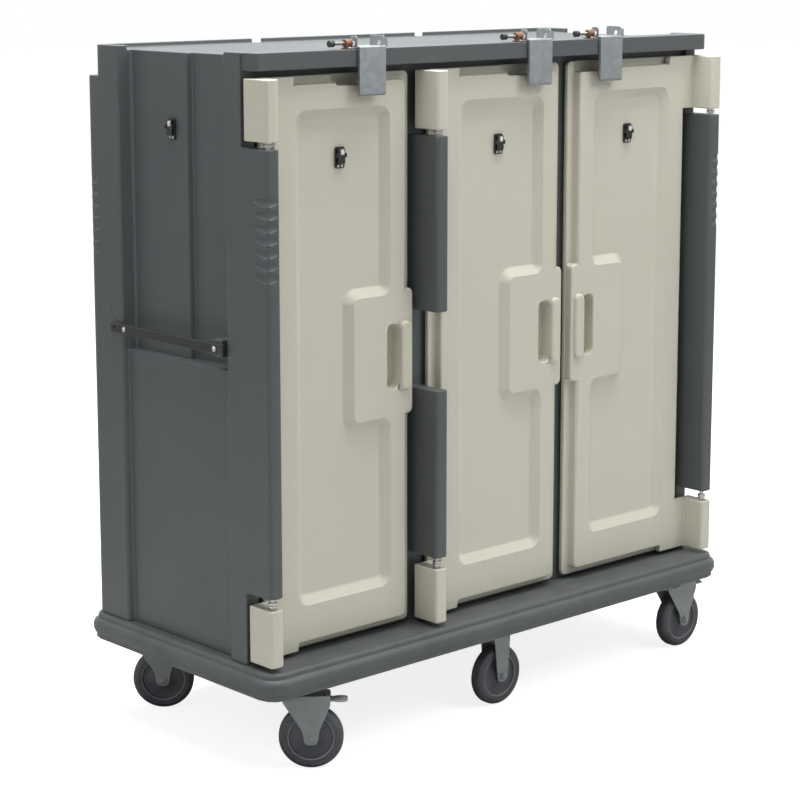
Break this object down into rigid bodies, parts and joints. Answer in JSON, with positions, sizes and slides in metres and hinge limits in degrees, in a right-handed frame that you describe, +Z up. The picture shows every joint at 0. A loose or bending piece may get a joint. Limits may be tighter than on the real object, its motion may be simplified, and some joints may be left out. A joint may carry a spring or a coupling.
{
  "type": "meal delivery cart",
  "caption": "Tall insulated tray cart with cream swing doors, slate moulded cabinet, top latches, end push bars and braked swivel casters.",
  "frame": {"origin": "centre of the bounding box on the floor", "axes": "+Z up, +X along the cart's length to the right when facing the doors, -Y towards the doors"},
  "size_m": [1.596, 0.7488, 1.697],
  "materials": {
    "slate_shell": "moulded polyethylene, lightly pebbled, slate grey",
    "cream_door": "moulded polyethylene, lightly pebbled, cream",
    "seal_rubber": "soft black compression seal",
    "latch_steel": "grey stainless sheet",
    "zinc_steel": "bright zinc plated",
    "latch_brass": "copper coloured bush",
    "black_plastic": "black moulded nylon",
    "rail_plastic": "pale grey moulded rail",
    "caster_fork": "grey painted pressed steel",
    "caster_tyre": "non marking dark grey tread on a grey hub"
  },
  "bodies": {
    "cabinet": {"cabinet_shell": "slate_shell", "base_platform": "slate_shell", "left_push_bar": "black_plastic", "right_push_bar": "black_plastic", "side_card_clip_base": "black_plastic", "front_middle_caster_fork": "caster_fork", "rear_middle_caster_fork": "caster_fork", "latch_1_barrel": "latch_brass", "compartment_1_left_tray_rail": "rail_plastic", "compartment_1_right_tray_rail": "rail_plastic", "door_1_lower_hinge_pin": "zinc_steel", "door_1_upper_hinge_pin": "zinc_steel", "latch_2_barrel": "latch_brass", "compartment_2_left_tray_rail": "rail_plastic", "compartment_2_right_tray_rail": "rail_plastic", "door_2_lower_hinge_pin": "zinc_steel", "door_2_upper_hinge_pin": "zinc_steel", "latch_3_barrel": "latch_brass", "compartment_3_left_tray_rail": "rail_plastic", "compartment_3_right_tray_rail": "rail_plastic", "door_3_lower_hinge_pin": "zinc_steel", "door_3_upper_hinge_pin": "zinc_steel", "front_left_caster_mounting_plate": "caster_fork", "rear_left_caster_mounting_plate": "caster_fork", "front_right_caster_mounting_plate": "caster_fork", "rear_right_caster_mounting_plate": "caster_fork"},
    "door_1": {"door_1_panel": "cream_door", "door_1_gasket": "seal_rubber", "latch_1_plate": "latch_steel", "door_1_card_clip_base": "black_plastic"},
    "latch_bolt_1": {"latch_1_bolt": "zinc_steel"},
    "clip_lever_1": {"door_1_card_clip_lever": "black_plastic"},
    "door_2": {"door_2_panel": "cream_door", "door_2_gasket": "seal_rubber", "latch_2_plate": "latch_steel", "door_2_card_clip_base": "black_plastic"},
    "latch_bolt_2": {"latch_2_bolt": "zinc_steel"},
    "clip_lever_2": {"door_2_card_clip_lever": "black_plastic"},
    "door_3": {"door_3_panel": "cream_door", "door_3_gasket": "seal_rubber", "latch_3_plate": "latch_steel", "door_3_card_clip_base": "black_plastic"},
    "latch_bolt_3": {"latch_3_bolt": "zinc_steel"},
    "clip_lever_3": {"door_3_card_clip_lever": "black_plastic"},
    "side_clip_lever": {"side_card_clip_lever": "black_plastic"},
    "front_left_swivel": {"front_left_caster_fork": "caster_fork"},
    "front_left_wheel": {"front_left_caster_wheel": "caster_tyre"},
    "front_left_brake": {"front_left_caster_brake_pedal": "caster_fork"},
    "rear_left_swivel": {"rear_left_caster_fork": "caster_fork"},
    "rear_left_wheel": {"rear_left_caster_wheel": "caster_tyre"},
    "rear_left_brake": {"rear_left_caster_brake_pedal": "caster_fork"},
    "front_right_swivel": {"front_right_caster_fork": "caster_fork"},
    "front_right_wheel": {"front_right_caster_wheel": "caster_tyre"},
    "front_right_brake": {"front_right_caster_brake_pedal": "caster_fork"},
    "rear_right_swivel": {"rear_right_caster_fork": "caster_fork"},
    "rear_right_wheel": {"rear_right_caster_wheel": "caster_tyre"},
    "rear_right_brake": {"rear_right_caster_brake_pedal": "caster_fork"},
    "front_middle_wheel": {"front_middle_caster_wheel": "caster_tyre"},
    "rear_middle_wheel": {"rear_middle_caster_wheel": "caster_tyre"}
  },
  "joints": [
    {"name": "door_1_hinge", "type": "hinge", "parent": "cabinet", "child": "door_1", "pos_m": [-0.755, -0.31458, 0.9], "axis": [0, 0, -1], "range_deg": [0, 270]},
    {"name": "latch_bolt_1_slide", "type": "slide", "parent": "cabinet", "child": "latch_bolt_1", "axis": [1, 0, 0], "range_m": [0, 0.024]},
    {"name": "clip_lever_1_pivot", "type": "hinge", "parent": "door_1", "child": "clip_lever_1", "pos_m": [-0.494, -0.26138, 1.425], "axis": [-1, 0, 0], "range_deg": [0, 12], "stiffness_Nm_per_rad": 0.01},
    {"name": "door_2_hinge", "type": "hinge", "parent": "cabinet", "child": "door_2", "pos_m": [-0.239, -0.31458, 0.9], "axis": [0, 0, -1], "range_deg": [0, 180]},
    {"name": "latch_bolt_2_slide", "type": "slide", "parent": "cabinet", "child": "latch_bolt_2", "axis": [1, 0, 0], "range_m": [0, 0.024]},
    {"name": "clip_lever_2_pivot", "type": "hinge", "parent": "door_2", "child": "clip_lever_2", "pos_m": [0.022, -0.26138, 1.425], "axis": [-1, 0, 0], "range_deg": [0, 12], "stiffness_Nm_per_rad": 0.01},
    {"name": "door_3_hinge", "type": "hinge", "parent": "cabinet", "child": "door_3", "pos_m": [0.755, -0.31458, 0.9], "axis": [0, 0, 1], "range_deg": [0, 270]},
    {"name": "latch_bolt_3_slide", "type": "slide", "parent": "cabinet", "child": "latch_bolt_3", "axis": [1, 0, 0], "range_m": [0, 0.024]},
    {"name": "clip_lever_3_pivot", "type": "hinge", "parent": "door_3", "child": "clip_lever_3", "pos_m": [0.494, -0.26138, 1.425], "axis": [-1, 0, 0], "range_deg": [0, 12], "stiffness_Nm_per_rad": 0.01},
    {"name": "side_clip_lever_pivot", "type": "hinge", "parent": "cabinet", "child": "side_clip_lever", "pos_m": [-0.7478, 0.05542, 1.486], "axis": [0, 1, 0], "range_deg": [0, 12], "stiffness_Nm_per_rad": 0.01},
    {"name": "front_left_swivel_turn", "type": "hinge", "parent": "cabinet", "child": "front_left_swivel", "pos_m": [-0.666, -0.27958, 0.176], "axis": [0, 0, 1], "continuous": true},
    {"name": "front_left_wheel_spin", "type": "hinge", "parent": "front_left_swivel", "child": "front_left_wheel", "pos_m": [-0.63627, -0.30634, 0.076], "axis": [0.6691, 0.7431, 0], "continuous": true},
    {"name": "front_left_brake_press", "type": "hinge", "parent": "front_left_swivel", "child": "front_left_brake", "pos_m": [-0.61101, -0.32909, 0.166], "axis": [0.6691, 0.7431, 0], "range_deg": [0, 14]},
    {"name": "rear_left_swivel_turn", "type": "hinge", "parent": "cabinet", "child": "rear_left_swivel", "pos_m": [-0.666, 0.29642, 0.176], "axis": [0, 0, 1], "continuous": true},
    {"name": "rear_left_wheel_spin", "type": "hinge", "parent": "rear_left_swivel", "child": "rear_left_wheel", "pos_m": [-0.63627, 0.26966, 0.076], "axis": [0.6691, 0.7431, 0], "continuous": true},
    {"name": "rear_left_brake_press", "type": "hinge", "parent": "rear_left_swivel", "child": "rear_left_brake", "pos_m": [-0.61101, 0.24691, 0.166], "axis": [0.6691, 0.7431, 0], "range_deg": [0, 14]},
    {"name": "front_right_swivel_turn", "type": "hinge", "parent": "cabinet", "child": "front_right_swivel", "pos_m": [0.666, -0.27958, 0.176], "axis": [0, 0, 1], "continuous": true},
    {"name": "front_right_wheel_spin", "type": "hinge", "parent": "front_right_swivel", "child": "front_right_wheel", "pos_m": [0.706, -0.27958, 0.076], "axis": [0, 1, 0], "continuous": true},
    {"name": "front_right_brake_press", "type": "hinge", "parent": "front_right_swivel", "child": "front_right_brake", "pos_m": [0.74, -0.27958, 0.166], "axis": [0, 1, 0], "range_deg": [0, 14]},
    {"name": "rear_right_swivel_turn", "type": "hinge", "parent": "cabinet", "child": "rear_right_swivel", "pos_m": [0.666, 0.29642, 0.176], "axis": [0, 0, 1], "continuous": true},
    {"name": "rear_right_wheel_spin", "type": "hinge", "parent": "rear_right_swivel", "child": "rear_right_wheel", "pos_m": [0.706, 0.29642, 0.076], "axis": [0, 1, 0], "continuous": true},
    {"name": "rear_right_brake_press", "type": "hinge", "parent": "rear_right_swivel", "child": "rear_right_brake", "pos_m": [0.74, 0.29642, 0.166], "axis": [0, 1, 0], "range_deg": [0, 14]},
    {"name": "front_middle_wheel_spin", "type": "hinge", "parent": "cabinet", "child": "front_middle_wheel", "pos_m": [0, -0.27958, 0.076], "axis": [0, 1, 0], "continuous": true},
    {"name": "rear_middle_wheel_spin", "type": "hinge", "parent": "cabinet", "child": "rear_middle_wheel", "pos_m": [0, 0.29642, 0.076], "axis": [0, 1, 0], "continuous": true}
  ]
}
